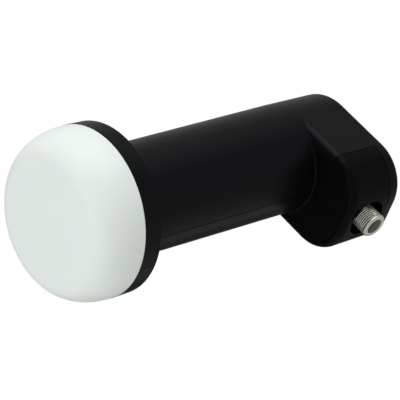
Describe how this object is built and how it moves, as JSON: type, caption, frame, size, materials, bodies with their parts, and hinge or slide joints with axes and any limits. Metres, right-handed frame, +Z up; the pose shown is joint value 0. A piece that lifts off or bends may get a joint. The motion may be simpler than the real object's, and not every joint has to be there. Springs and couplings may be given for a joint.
{
  "type": "satellite lnb",
  "caption": "Satellite dish LNB: white radome cap on a black round neck with collar, rear head with a sliding weather cover over a threaded coaxial port.",
  "frame": {"origin": "on the feed axis, at the middle of the 40 mm neck that the dish's clamp holds", "axes": "+Y along the feed axis towards the rear head, so the radome cap looks along -Y; +Z up, the cable port points along -Z; +X to the right of the dish seen from the cap's side towards +Y"},
  "size_m": [0.0614, 0.1342, 0.0737],
  "materials": {
    "white_radome": "satin moulded polypropylene",
    "black_housing": "satin moulded ABS",
    "black_cover": "satin moulded ABS",
    "cast_metal": "as cast",
    "shield_metal": "as cast",
    "black_rubber": "matt",
    "grey_gasket": "matt",
    "absorber": "matt foam",
    "board_green": "solder mask",
    "copper": "tinned copper",
    "zinc_screw": "zinc plated",
    "nickel_brass": "nickel plated",
    "white_insulator": "moulded polyethylene",
    "contact_brass": "plated",
    "chip_black": "moulded epoxy",
    "can_metal": "plated can",
    "ceramic_tan": "ceramic",
    "ferrite_grey": "ferrite"
  },
  "bodies": {
    "body": {"radome_cap": "white_radome", "cap_seal": "black_rubber", "shell_left": "black_housing", "shell_right": "black_housing", "feed_casting": "cast_metal", "circuit_board": "board_green", "probes": "copper", "rear_shield": "shield_metal", "shield_gasket": "grey_gasket", "shield_screws": "zinc_screw", "absorber_pad": "absorber", "port_body": "nickel_brass", "port_insulator": "white_insulator", "port_contact": "contact_brass", "converter_chip": "chip_black", "crystal": "can_metal", "amplifiers": "chip_black", "regulator": "chip_black", "surge_diode": "chip_black", "capacitors": "ceramic_tan", "inductors": "ferrite_grey"},
    "cover": {"weather_cover": "black_cover"}
  },
  "joints": [
    {"name": "cover_slide", "type": "slide", "parent": "body", "child": "cover", "axis": [0, 0, -1], "range_m": [0, 0.016]}
  ]
}
